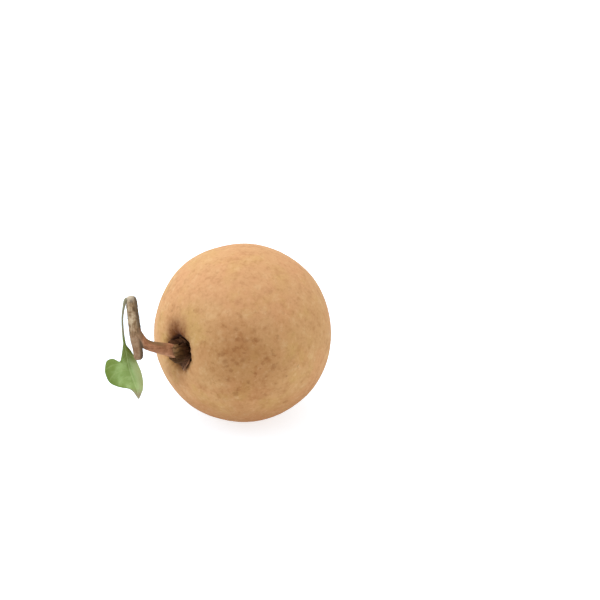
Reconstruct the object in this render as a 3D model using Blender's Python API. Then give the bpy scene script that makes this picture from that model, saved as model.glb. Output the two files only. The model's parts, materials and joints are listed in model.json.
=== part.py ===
# A whole sapodilla lying on its side: the fruit, its dried calyx, its stalk grown on a cut length of twig,
# and one small leaf that hangs from the twig.
# Metres, +Z up. The fruit rests on a small flat spot, and the middle of that spot is the origin.
#
# The stalk, twig and leaf are placed as they are seen from the front, -Y, and from VIEW_ELEVATION above the
# horizon. A place is three millimetre values from the fruit's centre: right, up in the view, and nearer.

import math

import bmesh
import bpy
from mathutils import Matrix, Vector, noise

MM = 0.001
GAP = 0.38 * MM  # air between pieces that touch

# Fruit
HALF_WIDTH = 35.0 * MM
HALF_LENGTH = 33.6 * MM
FULLNESS = 2.12  # 2 is an ellipsoid, and more is squarer
CENTRE_HEIGHT = 34.55 * MM  # a little under half the width, which makes the flat spot
STALK_HEADING = math.radians(221)  # where the stalk end points, seen from above
STALK_RISE = math.radians(5.5)  # how far it points above the horizon
PIT_DEPTH = 6.2 * MM
PIT_RADIUS = 6.6 * MM
PIT_STEEPNESS = 4.6
PIT_OVAL = 0.09
PIT_PUCKER = 0.045
TIP_HEIGHT = 2.1 * MM  # dried style at the blossom end
TIP_RADIUS = 1.35 * MM
TIP_DIMPLE = 0.9 * MM
TIP_DIMPLE_RADIUS = 6.0 * MM
LUMP_HEIGHT = 0.55 * MM
LUMP_SIZE = 24.0 * MM
SMOOTH_END = math.radians(30)  # lumps fade out this far round from the pit
FRUIT_RINGS = 50
FRUIT_SIDES = 60
RING_CROWDING = 0.62  # rings crowd together at the pit and at the blossom end

# Calyx
SEPALS = 6
SEPAL_ROOT = 1.0 * MM
SEPAL_REACH = (8.0 * MM, 6.7 * MM)  # outer and inner whorl
SEPAL_WIDTH = (6.9 * MM, 5.7 * MM)
SEPAL_ROOT_SHARE = 0.62  # width at the root, as a share of the widest
SEPAL_BLUNT_TIP = 0.35 * MM  # least half width
SEPAL_THICKNESS = 0.95 * MM
SEPAL_CLEARANCE = 0.58 * MM  # along the fruit's axis, so that it is still GAP where the pit is steep
SEPAL_LIFT = (0.0, 0.7 * MM)
SEPAL_LIFT_START = 3.1 * MM  # the stalk's foot stands inside this radius
SEPAL_CURL = (0.3 * MM, 1.3 * MM)
SEPAL_TWIST = 0.35 * MM
SEPAL_UNEVENNESS = 0.12  # how much the reach differs from sepal to sepal
SEPAL_TURN = 0.35  # radians that the first one is turned by
SEPAL_ROWS = 9
SEPAL_COLUMNS = 6
DISC_RADIUS = 2.9 * MM
DISC_TOP_RADIUS = 2.6 * MM
DISC_HEIGHT = 2.0 * MM
DISC_SIDES = 24

# Stalk and twig
STALK_STRAIGHT = 1.3 * MM  # square to the calyx for so far
STALK_ROUTE = [
    (-27.0, -7.0, 22.4),
    (-30.7, -5.8, 26.0),
    (-33.9, -4.9, 29.0),
    (-36.5, -3.5, 31.1),
    (-38.7, -1.3, 32.2),
    (-39.8, 1.4, 32.1),
]
STALK_RADII = [2.75, 2.95, 2.6, 2.1, 1.98, 2.05, 2.35, 1.8]
TWIG_ROUTE = [
    (-41.6, 14.2, 29.9),
    (-41.2, 10.6, 30.6),
    (-40.4, 4.8, 31.5),
    (-39.5, -0.9, 32.4),
    (-38.7, -5.6, 33.0),
    (-38.2, -9.9, 33.3),
]
TWIG_RADII = [1.95, 2.15, 2.1, 2.2, 1.85, 1.65]
STALK_SIDES, STALK_RINGS = 14, 22
TWIG_SIDES, TWIG_RINGS = 16, 30
BARK_ROUGHNESS = 0.07
BARK_GRAIN = 2.6 * MM
# How far in from a cut end, and the share of the radius there
CUT_ROUNDING = [(0.0, 0.58), (0.25 * MM, 0.86), (0.85 * MM, 1.0)]

# Leaf
PETIOLE_ROUTE = [
    (-44.05, 12.9, 31.3),
    (-44.4, 12.4, 31.7),
    (-44.5, 10.8, 32.2),
    (-44.6, 7.8, 32.8),
    (-44.6, 4.1, 33.2),
    (-44.3, 0.1, 33.1),
    (-43.9, -3.6, 32.5),
]
PETIOLE_RADII = [0.66, 0.5, 0.43, 0.4, 0.42, 0.48, 0.55]
# Each point of the rib and the two edges starts with how far along the blade it is, from 0 to 1.
LEAF_RIB = [
    (0.0, -43.9, -3.6, 32.5),
    (0.2, -43.6, -7.0, 30.6),
    (0.43, -42.8, -11.9, 28.3),
    (0.64, -41.4, -16.1, 28.3),
    (0.83, -39.8, -20.4, 30.0),
    (1.0, -38.6, -24.5, 32.6),
]
LEAF_LEFT_EDGE = [
    (0.0, -44.2, -3.6, 32.4),
    (0.2, -45.1, -6.9, 29.8),
    (0.36, -45.6, -9.2, 28.6),
    (0.45, -46.3, -10.5, 28.0),
    (0.5, -48.8, -9.4, 28.5),
    (0.545, -51.0, -10.3, 29.0),
    (0.59, -51.6, -12.7, 29.2),
    (0.64, -51.5, -15.1, 29.0),
    (0.71, -49.8, -18.6, 29.0),
    (0.79, -46.2, -20.2, 29.8),
    (0.88, -41.8, -21.1, 31.0),
    (1.0, -38.9, -24.3, 32.6),
]
LEAF_RIGHT_EDGE = [
    (0.0, -43.6, -3.6, 32.4),
    (0.2, -42.2, -6.6, 29.6),
    (0.43, -39.8, -11.2, 24.6),
    (0.64, -37.8, -16.5, 22.8),
    (0.83, -37.3, -21.0, 26.8),
    (0.92, -37.8, -22.9, 29.4),
    (1.0, -38.3, -24.5, 32.5),
]
# How many millimetres the left and the right half arch towards the viewer
LEAF_ARCH = [(0.0, 0.0, 0.0), (0.3, 0.3, 0.7), (0.6, 0.7, 2.0), (0.83, 0.5, 1.2), (1.0, 0.0, 0.0)]
LEAF_THICKNESS = 0.62 * MM
LEAF_LEAST_FACING = 0.6  # the thickening stops growing where a half faces away more than this
LEAF_TIP_THINNING = 0.4  # share of the thickness left at the very tip
LEAF_TIP_START = 0.9
LEAF_RIB_HEIGHT = 0.5 * MM  # under the blade, at its base
LEAF_RIB_FADE = 0.7  # share of it lost by the tip
LEAF_RIB_WIDTH = 0.9 * MM
LEAF_WAVE = 0.35 * MM
LEAF_WAVES = 5
LEAF_COLUMNS = 7  # from the rib to an edge
LEAF_ROWS = 46
PETIOLE_RINGS = 16
PETIOLE_BLEND = 0.12  # share of the blade over which the petiole flattens into it

VIEW_ELEVATION = math.radians(30)
VIEW_RIGHT = Vector((1, 0, 0))
VIEW_UP = Vector((0, math.sin(VIEW_ELEVATION), math.cos(VIEW_ELEVATION)))
VIEW_NEAR = Vector((0, -math.cos(VIEW_ELEVATION), math.sin(VIEW_ELEVATION)))

FRUIT_CENTRE = Vector((0, 0, CENTRE_HEIGHT))
STALK_AXIS = Vector((
    math.cos(STALK_HEADING) * math.cos(STALK_RISE),
    math.sin(STALK_HEADING) * math.cos(STALK_RISE),
    math.sin(STALK_RISE),
))


def clear_scene():
    for thing in list(bpy.data.objects):
        bpy.data.objects.remove(thing)


def material(name, colour, roughness):
    made = bpy.data.materials.new(name)
    made.use_nodes = True
    shader = made.node_tree.nodes["Principled BSDF"]
    shader.inputs["Base Color"].default_value = (*colour, 1)
    shader.inputs["Roughness"].default_value = roughness
    made.diffuse_color = (*colour, 1)
    return made


def seen(right, up, near):
    """The point at these millimetres from the fruit's centre, as the viewer sees them."""
    return FRUIT_CENTRE + (VIEW_RIGHT * right + VIEW_UP * up + VIEW_NEAR * near) * MM


def fruit_frame():
    """The fruit's own frame in the world: its +Z is the stalk end, and its +Y is roughly up."""
    side = Vector((0, 0, 1)).cross(STALK_AXIS).normalized()
    turned = Matrix((side, STALK_AXIS.cross(side), STALK_AXIS)).transposed()
    return Matrix.Translation(FRUIT_CENTRE) @ turned.to_4x4()


def smooth_step(share):
    share = min(1.0, max(0.0, share))
    return share * share * (3 - 2 * share)


def follow(keys, place):
    """A smooth curve through keys, which are (position, vector) pairs, read at a position."""
    last = len(keys) - 1
    index = max([n for n in range(last) if keys[n][0] <= place], default=0)

    def slope(n):
        before, after = keys[max(0, n - 1)], keys[min(last, n + 1)]
        return (after[1] - before[1]) / (after[0] - before[0])

    (start, a), (end, b) = keys[index], keys[index + 1]
    width = end - start
    s = min(1.0, max(0.0, (place - start) / width))
    rise_a, rise_b = slope(index) * width, slope(index + 1) * width
    return (
        a * (2 * s**3 - 3 * s**2 + 1)
        + rise_a * (s**3 - 2 * s**2 + s)
        + b * (3 * s**2 - 2 * s**3)
        + rise_b * (s**3 - s**2)
    )


def evenly(points):
    """Keys for follow() from points alone, spaced by the distance between them, from 0 to 1."""
    lengths = [0.0]
    for a, b in zip(points, points[1:]):
        lengths.append(lengths[-1] + (b - a).length)
    return [(length / lengths[-1], point) for length, point in zip(lengths, points)]


def new_object(name, mesh_maker, made_of):
    mesh = bpy.data.meshes.new(name)
    mesh_maker.to_mesh(mesh)
    mesh_maker.free()
    mesh.shade_smooth()
    mesh.set_sharp_from_angle(angle=math.radians(40))
    mesh.materials.append(made_of)
    thing = bpy.data.objects.new(name, mesh)
    bpy.context.scene.collection.objects.link(thing)
    return thing


def loft(rings):
    """A closed skin over rings of equally many points, with each end filled."""
    made = bmesh.new()
    rows = [[made.verts.new(point) for point in ring] for ring in rings]
    for low, high in zip(rows, rows[1:]):
        for n, corner in enumerate(low):
            after = (n + 1) % len(low)
            made.faces.new((corner, low[after], high[after]))
            made.faces.new((corner, high[after], high[n]))
    made.faces.new(rows[0])
    made.faces.new(rows[-1])
    bmesh.ops.recalc_face_normals(made, faces=made.faces)
    return made


def union(name, things, made_of):
    """One solid joined from several, which are then removed."""
    kept = things[0]
    others = bpy.data.collections.new(name + "_joined")
    bpy.context.scene.collection.children.link(others)
    for thing in things[1:]:
        bpy.context.scene.collection.objects.unlink(thing)
        others.objects.link(thing)
    joiner = kept.modifiers.new("Join", "BOOLEAN")
    joiner.operation = "UNION"
    joiner.operand_type = "COLLECTION"
    joiner.collection = others
    joiner.solver = "EXACT"
    graph = bpy.context.evaluated_depsgraph_get()
    joined = bmesh.new()
    joined.from_object(kept, graph)
    for thing in things:
        bpy.data.objects.remove(thing)
    bpy.data.collections.remove(others)
    return new_object(name, joined, made_of)


def pit_drop(x, y):
    """How far the stalk end's pit lies under the fruit's plain round shape."""
    turn = math.atan2(y, x)
    radius = PIT_RADIUS * (1 + PIT_OVAL * math.cos(2 * turn) + PIT_PUCKER * math.cos(SEPALS * turn + 0.6))
    return PIT_DEPTH / (1 + (math.hypot(x, y) / radius) ** PIT_STEEPNESS)


def stalk_end_height(x, y):
    """Height of the skin at the stalk end over the fruit's centre, in the fruit's frame."""
    dome = HALF_LENGTH * (1 - (math.hypot(x, y) / HALF_WIDTH) ** FULLNESS) ** (1 / FULLNESS)
    return dome - pit_drop(x, y)


def skin_point(angle, turn):
    """A point of the skin in the fruit's frame, at an angle from the stalk end and a turn round it."""
    around, along = math.sin(angle), math.cos(angle)
    reach = (around**FULLNESS + abs(along) ** FULLNESS) ** (-1 / FULLNESS)
    out = HALF_WIDTH * around * reach
    x, y = out * math.cos(turn), out * math.sin(turn)
    height = HALF_LENGTH * along * reach
    if along > 0:
        height -= pit_drop(x, y)
    else:
        height += TIP_DIMPLE * math.exp(-((out / TIP_DIMPLE_RADIUS) ** 2))
        height -= (TIP_HEIGHT + TIP_DIMPLE) * math.exp(-((out / TIP_RADIUS) ** 2))
    point = Vector((x, y, height))
    lump = noise.noise(point / LUMP_SIZE) * LUMP_HEIGHT * smooth_step(angle / SMOOTH_END - 0.5)
    return point + point.normalized() * lump


def make_fruit(made_of):
    made = bmesh.new()
    rows = []
    for ring in range(1, FRUIT_RINGS):
        share = ring / FRUIT_RINGS
        angle = math.pi * share - RING_CROWDING / 2 * math.sin(2 * math.pi * share)
        turns = (2 * math.pi * side / FRUIT_SIDES for side in range(FRUIT_SIDES))
        rows.append([made.verts.new(skin_point(angle, turn)) for turn in turns])
    pit_floor = made.verts.new(skin_point(0, 0))
    blossom_end = made.verts.new(skin_point(math.pi, 0))
    for side in range(FRUIT_SIDES):
        after = (side + 1) % FRUIT_SIDES
        made.faces.new((pit_floor, rows[0][side], rows[0][after]))
        made.faces.new((blossom_end, rows[-1][after], rows[-1][side]))
        for low, high in zip(rows, rows[1:]):
            made.faces.new((low[side], high[side], high[after], low[after]))
    made.transform(fruit_frame())
    rest_on_flat_spot(made)
    return new_object("fruit", made, made_of)


def rest_on_flat_spot(made):
    """Cuts off what lies under the surface that the fruit rests on, and closes the cut."""
    everything = made.verts[:] + made.edges[:] + made.faces[:]
    bmesh.ops.bisect_plane(
        made, geom=everything, dist=0.001 * MM, plane_co=(0, 0, 0), plane_no=(0, 0, -1), clear_outer=True
    )
    rim = [edge for edge in made.edges if edge.is_boundary]
    bmesh.ops.edgeloop_fill(made, edges=rim)
    bmesh.ops.recalc_face_normals(made, faces=made.faces)


def sepal_rings(number):
    """One sepal as rings across it, from its root in the disc out along the wall of the pit."""
    whorl = number % 2
    turn = 2 * math.pi * number / SEPALS + SEPAL_TURN
    outward = Vector((math.cos(turn), math.sin(turn)))
    across = Vector((-outward.y, outward.x))
    uneven = noise.noise(Vector((number * 1.7, 0.3, 0.8)))
    reach = SEPAL_REACH[whorl] * (1 + SEPAL_UNEVENNESS * uneven)
    rings = []
    for row in range(SEPAL_ROWS + 1):
        share = row / SEPAL_ROWS
        swell = SEPAL_ROOT_SHARE + (1 - SEPAL_ROOT_SHARE) * math.sin(math.pi * share)
        half_width = max(SEPAL_WIDTH[whorl] / 2 * swell * (1 - share**4) ** 0.6, SEPAL_BLUNT_TIP)
        under, over = [], []
        for column in range(SEPAL_COLUMNS + 1):
            side = 2 * column / SEPAL_COLUMNS - 1
            flat = outward * (SEPAL_ROOT + (reach - SEPAL_ROOT) * share) + across * side * half_width
            raised = smooth_step((flat.length - SEPAL_LIFT_START) / SEPAL_LIFT_START)
            lift = SEPAL_LIFT[whorl] * raised + SEPAL_CURL[whorl] * share**3
            lift += SEPAL_TWIST * uneven * share * side
            height = stalk_end_height(flat.x, flat.y) + SEPAL_CLEARANCE + max(lift, 0)
            thickness = SEPAL_THICKNESS * (1 - 0.25 * side * side)
            under.append(Vector((flat.x, flat.y, height)))
            over.append(Vector((flat.x, flat.y, height + thickness)))
        rings.append(under + over[::-1])
    return rings


def disc_foot():
    """Where the calyx disc starts, clear of the highest skin under it."""
    turns = (2 * math.pi * n / DISC_SIDES for n in range(DISC_SIDES))
    rim = (stalk_end_height(DISC_RADIUS * math.cos(turn), DISC_RADIUS * math.sin(turn)) for turn in turns)
    return max(rim) + GAP


def make_calyx(made_of):
    place = fruit_frame()
    disc = bmesh.new()
    bmesh.ops.create_cone(
        disc,
        cap_ends=True,
        segments=DISC_SIDES,
        radius1=DISC_RADIUS,
        radius2=DISC_TOP_RADIUS,
        depth=DISC_HEIGHT,
    )
    disc.transform(place @ Matrix.Translation((0, 0, disc_foot() + DISC_HEIGHT / 2)))
    things = [new_object("disc", disc, made_of)]
    for number in range(SEPALS):
        sepal = loft(sepal_rings(number))
        sepal.transform(place)
        things.append(new_object(f"sepal_{number}", sepal, made_of))
    return union("calyx", things, made_of)


def tube_rings(points, radii, sides, count, roughness):
    """Rings along a smooth route, uneven like bark, with rounded ends."""
    route = evenly(points)
    size = [(key[0], radius * MM) for key, radius in zip(route, radii)]
    across = VIEW_RIGHT.cross(points[-1] - points[0])
    length = sum((b - a).length for a, b in zip(points, points[1:]))
    cut = [(depth / length, share) for depth, share in CUT_ROUNDING]
    first = cut[-1][0]
    body = [(first + (1 - 2 * first) * n / count, 1.0) for n in range(1, count)]
    far_cut = [(1 - place, share) for place, share in reversed(cut)]
    rings = []
    for place, share in cut + body + far_cut:
        centre = follow(route, place)
        along = (follow(route, place + 0.01) - follow(route, place - 0.01)).normalized()
        across = (across - along * across.dot(along)).normalized()
        upright = along.cross(across)
        radius = follow(size, place) * share
        ring = []
        for side in range(sides):
            turn = 2 * math.pi * side / sides
            outward = across * math.cos(turn) + upright * math.sin(turn)
            grain = noise.noise((centre + outward * radius) / BARK_GRAIN)
            ring.append(centre + outward * radius * (1 + roughness * grain))
        rings.append(ring)
    return rings


def make_stalk_and_twig(made_of):
    foot = disc_foot() + DISC_HEIGHT + GAP
    straight = [FRUIT_CENTRE + STALK_AXIS * (foot + rise) for rise in (0, STALK_STRAIGHT)]
    stalk_points = straight + [seen(*point) for point in STALK_ROUTE]
    twig_points = [seen(*point) for point in TWIG_ROUTE]
    stalk = loft(tube_rings(stalk_points, STALK_RADII, STALK_SIDES, STALK_RINGS, BARK_ROUGHNESS / 2))
    twig = loft(tube_rings(twig_points, TWIG_RADII, TWIG_SIDES, TWIG_RINGS, BARK_ROUGHNESS))
    things = [new_object("twig", twig, made_of), new_object("stalk", stalk, made_of)]
    return union("stalk_and_twig", things, made_of)


def petiole_rings(sides):
    """Round rings down the petiole. Each starts at its left and goes over the face that the viewer sees."""
    route = evenly([seen(*point) for point in PETIOLE_ROUTE])
    size = [(key[0], radius * MM) for key, radius in zip(route, PETIOLE_RADII)]
    rings = []
    for n in range(PETIOLE_RINGS + 1):
        place = n / PETIOLE_RINGS
        along = (follow(route, place + 0.01) - follow(route, place - 0.01)).normalized()
        left = (-VIEW_RIGHT + along * VIEW_RIGHT.dot(along)).normalized()
        face = left.cross(along)
        if face.dot(VIEW_NEAR) < 0:
            face = -face
        radius = follow(size, place)
        ring = []
        for side in range(sides):
            turn = 2 * math.pi * (side + 0.5) / sides
            ring.append(follow(route, place) + (left * math.cos(turn) + face * math.sin(turn)) * radius)
        rings.append(ring)
    return rings


def blade_middle(share):
    """Points across the blade half way through its thickness, from the left edge to the right one."""
    rib, left, right = (
        follow([(key[0], seen(*key[1:])) for key in keys], share)
        for keys in (LEAF_RIB, LEAF_LEFT_EDGE, LEAF_RIGHT_EDGE)
    )
    arches = follow([(key[0], Vector(key[1:])) for key in LEAF_ARCH], share) * MM
    wave = LEAF_WAVE * math.sin(2 * math.pi * LEAF_WAVES * share) * math.sin(math.pi * share)
    points = []
    for column in range(-LEAF_COLUMNS, LEAF_COLUMNS + 1):
        edge, height = (left, arches.x) if column < 0 else (right, arches.y)
        out = abs(column) / LEAF_COLUMNS
        arch = VIEW_NEAR * (4 * out * (1 - out) * height + wave * out**3)
        points.append(rib.lerp(edge, out) + arch)
    return points


def blade_rings():
    """Rings round the blade: over its upper face from left to right, and back under it.

    Every point of a ring is thickened in one direction, so that the fold at the rib can't cross itself.
    """
    rows = [blade_middle(row / LEAF_ROWS) for row in range(LEAF_ROWS + 1)]
    rings = []
    for number, row in enumerate(rows):
        share = number / LEAF_ROWS
        tip = max(0.0, share - LEAF_TIP_START) / (1 - LEAF_TIP_START)
        half = LEAF_THICKNESS / 2 * (1 - (1 - LEAF_TIP_THINNING) * tip)
        rib_point = row[LEAF_COLUMNS]
        before, after = rows[max(0, number - 1)], rows[min(LEAF_ROWS, number + 1)]
        along = after[LEAF_COLUMNS] - before[LEAF_COLUMNS]
        halves = (row[0] - rib_point, rib_point - row[-1])
        faces = [across.cross(along).normalized() for across in halves]
        direction = (faces[0] + faces[1]).normalized()
        over, under = [], []
        for column, point in enumerate(row):
            out = abs(column - LEAF_COLUMNS) / LEAF_COLUMNS
            face = direction if out == 0 else faces[column > LEAF_COLUMNS]
            push = half / max(LEAF_LEAST_FACING, direction.dot(face))
            rib = LEAF_RIB_HEIGHT * (1 - LEAF_RIB_FADE * share) * (1 - out)
            rib *= math.exp(-(((point - rib_point).length / LEAF_RIB_WIDTH) ** 2))
            over.append(point + direction * push)
            under.append(point - direction * (push + rib))
        rings.append(over + under[::-1])
    return rings


def make_leaf(made_of):
    blade = blade_rings()
    petiole = petiole_rings(len(blade[0]))
    last = petiole[-1]
    base = sum(last, Vector()) / len(last)
    for number, ring in enumerate(blade):
        share = smooth_step(number / LEAF_ROWS / PETIOLE_BLEND)
        if share < 1:
            middle = sum(ring, Vector()) / len(ring)
            blade[number] = [
                (middle + flat_point - base).lerp(point, share) for point, flat_point in zip(ring, last)
            ]
    return new_object("leaf", loft(petiole[:-1] + blade), made_of)


def main():
    clear_scene()
    make_fruit(material("scurfy_skin", (0.56, 0.33, 0.15), 0.75))
    make_calyx(material("dried_calyx", (0.07, 0.045, 0.025), 0.85))
    make_stalk_and_twig(material("bark", (0.26, 0.15, 0.09), 0.8))
    make_leaf(material("leaf_green", (0.2, 0.36, 0.12), 0.45))


main()
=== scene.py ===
# Looks for a whole sapodilla on its side: scurfy skin, dried calyx, barked stalk and twig, small leaf.
# Shapes are worked out in millimetres and become metres when a mesh is made.
import json
from math import atan2, copysign, cos, exp, hypot, pi, radians, sin

import bpy
from mathutils import Matrix, Vector
from mathutils.noise import noise, voronoi

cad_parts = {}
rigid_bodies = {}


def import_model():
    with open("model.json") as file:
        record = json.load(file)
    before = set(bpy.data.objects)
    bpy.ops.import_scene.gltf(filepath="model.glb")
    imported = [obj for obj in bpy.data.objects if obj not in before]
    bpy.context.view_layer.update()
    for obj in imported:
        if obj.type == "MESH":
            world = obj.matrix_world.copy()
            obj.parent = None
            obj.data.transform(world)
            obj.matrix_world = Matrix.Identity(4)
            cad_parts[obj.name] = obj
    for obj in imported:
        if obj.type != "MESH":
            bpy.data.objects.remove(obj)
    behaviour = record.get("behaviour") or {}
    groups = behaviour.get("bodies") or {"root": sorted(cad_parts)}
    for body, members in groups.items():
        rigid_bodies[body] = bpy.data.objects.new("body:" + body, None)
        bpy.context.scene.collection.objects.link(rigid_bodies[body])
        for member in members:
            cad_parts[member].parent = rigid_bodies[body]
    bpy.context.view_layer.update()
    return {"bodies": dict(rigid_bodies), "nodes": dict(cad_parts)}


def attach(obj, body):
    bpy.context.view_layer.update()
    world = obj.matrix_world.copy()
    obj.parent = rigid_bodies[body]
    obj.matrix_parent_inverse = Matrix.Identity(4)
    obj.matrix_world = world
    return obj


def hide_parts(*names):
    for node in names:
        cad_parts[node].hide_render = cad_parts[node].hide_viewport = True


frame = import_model()
body = list(frame["bodies"])[0]  # nothing moves, so everything rides on the one body
mm = 0.001
print("frame loaded:", sorted(frame["nodes"]))

# The way the photograph looks at the fruit. Places on the stalk, twig and leaf are right, up and near in it.
camera = {
    "elevation": 30,  # degrees above the horizon
    "distance": 900.0,  # from the fruit's centre
    "frameWidth": 236.0,  # what the picture is wide at the fruit's centre
    "sensorWidth": 36,
    "aimRight": 22.6,  # the picture's centre lies this far from the fruit's centre
    "aimUp": 12.9,
}
viewTilt = radians(camera["elevation"])
viewRight = Vector((1, 0, 0))
viewUp = Vector((0, sin(viewTilt), cos(viewTilt)))
viewNear = viewRight.cross(viewUp)

fruit = {
    "halfWidth": 35.0,
    "halfLength": 33.6,
    "fullness": 2.12,  # 2 is an ellipsoid, and more is squarer
    "centreHeight": 34.55,
    "stalkHeading": 221,  # degrees, seen from above
    "stalkRise": 5.5,  # degrees above the horizon
    "pitDepth": 6.2,
    "pitRadius": 6.0,
    "pitShift": (-0.4, 1.0),  # where its middle is, across and up from the stalk's axis
    "pitSteepness": 4.6,
    "pitPucker": 0.045,  # how far its rim goes in and out, as a share
    "pitPuckers": 6,
    "puckerTurn": 0.6,
    "tipHeight": 2.1,  # the dried style at the blossom end
    "tipRadius": 1.35,
    "tipDimple": 0.9,
    "tipDimpleRadius": 6.0,
    "lumpHeight": 0.55,
    "lumpSize": 24.0,
    "smoothEnd": 30,  # degrees over which the lumps fade in, starting half as far from the stalk
    "rings": 300,
    "sides": 318,
    "ringCrowding": 0.62,  # how much nearer to each other the rings are at both ends
    "dentHeight": 0.09,
    "dentSize": 6.0,
    "scurfHeight": 0.04,
    "scurfSize": 1.7,
    "wrinkleHeight": 0.16,  # short folds that run out of the pit
    "wrinkles": 17,
    "wrinkleRing": 1.3,  # how far out they are highest, in pit radii
    "wrinkleReach": 2.6,
    "wrinkleBend": 3,
    "wrinkleBendSize": 5,
}
fruitCentre = Vector((0, 0, fruit["centreHeight"]))
stalkAxis = Matrix.Rotation(radians(fruit["stalkHeading"]), 3, "Z") @ Vector(
    (cos(radians(fruit["stalkRise"])), 0, sin(radians(fruit["stalkRise"])))
)


def seen(right, up, near):
    return fruitCentre + viewRight * right + viewUp * up + viewNear * near


def smoothStep(share):
    share = min(1.0, max(0.0, share))
    return share * share * (3 - 2 * share)


def follow(keys, place):  # a smooth curve through (position, value) pairs
    last = len(keys) - 1
    index = max([n for n in range(last) if keys[n][0] <= place], default=0)

    def slope(n):
        before, after = keys[max(0, n - 1)], keys[min(last, n + 1)]
        return (after[1] - before[1]) / (after[0] - before[0])

    (start, a), (end, b) = keys[index], keys[index + 1]
    width = end - start
    s = min(1.0, max(0.0, (place - start) / width))
    riseA, riseB = slope(index) * width, slope(index + 1) * width
    return (
        a * (2 * s**3 - 3 * s**2 + 1)
        + riseA * (s**3 - 2 * s**2 + s)
        + b * (3 * s**2 - 2 * s**3)
        + riseB * (s**3 - s**2)
    )


def spacedKeys(points):  # keys for follow() from points alone
    lengths = [0.0]
    for a, b in zip(points, points[1:]):
        lengths.append(lengths[-1] + (b - a).length)
    return [(length / lengths[-1], point) for length, point in zip(lengths, points)]


def routeLength(points):
    return sum((b - a).length for a, b in zip(points, points[1:]))


def sampled(route, count=60):  # (place, point) pairs along a route
    return [(n / count, follow(route, n / count)) for n in range(count + 1)]


def nearestOn(samples, point):  # (distance, place, centre) on a sampled route
    return min(((point - centre).length, place, centre) for place, centre in samples)


def heading(route, place):  # the way that a route runs
    return (follow(route, place + 0.01) - follow(route, place - 0.01)).normalized()


def squared(across, along):  # the first direction, turned to be square to the second
    return (across - along * across.dot(along)).normalized()


def fruitPlace():  # the fruit's own frame, with +Z at its stalk end
    side = Vector((0, 0, 1)).cross(stalkAxis).normalized()
    turned = Matrix((side, stalkAxis.cross(side), stalkAxis)).transposed()
    return Matrix.Translation(fruitCentre) @ turned.to_4x4()


# Shader graphs written as sums


class Wire:  # a socket that takes part in sums
    def __init__(self, paint, socket):
        self.paint = paint
        self.socket = socket

    def __add__(self, other):
        return self.paint.work("ADD", self, other)

    __radd__ = __add__

    def __sub__(self, other):
        return self.paint.work("SUBTRACT", self, other)

    def __rsub__(self, other):
        return self.paint.work("SUBTRACT", other, self)

    def __mul__(self, other):
        return self.paint.work("MULTIPLY", self, other)

    __rmul__ = __mul__

    def __pow__(self, other):
        return self.paint.work("POWER", self, other)

    def __rpow__(self, other):
        return self.paint.work("POWER", other, self)


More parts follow.
